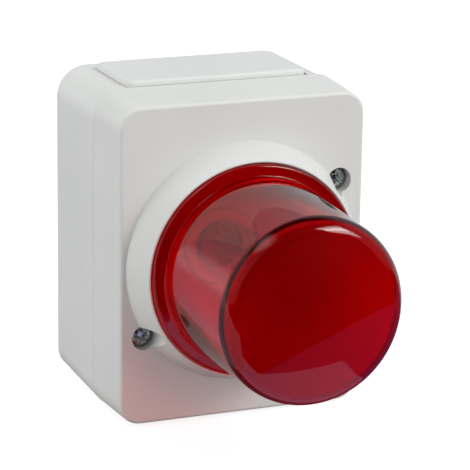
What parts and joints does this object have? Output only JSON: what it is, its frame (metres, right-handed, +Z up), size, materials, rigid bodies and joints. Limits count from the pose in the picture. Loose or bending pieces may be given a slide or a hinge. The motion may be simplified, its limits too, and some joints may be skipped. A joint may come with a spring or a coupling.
{
  "type": "signal lamp",
  "caption": "Surface-mounted signal lamp with a two-part pale grey housing, a slide-in cable entry plate and a red screw-in lens over a small screw-base bulb",
  "frame": {"origin": "centre of the flat rear face that lies on the wall", "axes": "+X to the right seen from the front, +Y into the wall, +Z up; the lens points to -Y"},
  "size_m": [0.0666, 0.0977, 0.0849],
  "materials": {
    "housing_plastic": "fine moulded satin, warm light grey",
    "red_lens": "polished transparent red",
    "seal_rubber": "matt black",
    "seal_silicone": "pale silicone",
    "zinc_steel": "bright zinc plate",
    "insulating_plastic": "moulded, cream",
    "holder_plastic": "moulded thermoset, white",
    "contact_brass": "pressed, bare",
    "bulb_glass": "clear drawn glass",
    "lead_wire": "drawn wire and stem",
    "black_insulator": "black vitrite"
  },
  "bodies": {
    "housing": {"base_housing": "housing_plastic", "entry_plate": "housing_plastic", "housing_gasket": "seal_rubber", "front_cover": "housing_plastic", "cover_screws": "zinc_steel", "lamp_carrier": "insulating_plastic", "carrier_screws": "zinc_steel", "holder_body": "holder_plastic", "holder_screws": "zinc_steel", "holder_shell": "contact_brass", "centre_contact": "contact_brass", "shell_strip": "contact_brass", "terminal_block": "insulating_plastic", "terminal_clamps": "contact_brass", "terminal_screws": "zinc_steel", "bulb_glass": "bulb_glass", "bulb_mount": "lead_wire", "bulb_cap": "contact_brass", "bulb_insulator": "black_insulator", "bulb_tip": "zinc_steel"},
    "lens_seal_ring": {"lens_seal": "seal_silicone"},
    "lens_cap": {"lens": "red_lens"}
  },
  "joints": [
    {"name": "lens_advance", "type": "slide", "parent": "housing", "child": "lens_seal_ring", "axis": [0, -1, 0], "range_m": [0, 0.0061]},
    {"name": "lens_turn", "type": "hinge", "parent": "lens_seal_ring", "child": "lens_cap", "pos_m": [0, -0.056, -0.00055], "axis": [0, -1, 0], "range_deg": [0, 540]}
  ],
  "couplings": [
    {"joint": "lens_advance", "follows": "lens_turn", "m_per_rad": 0.00063662}
  ]
}
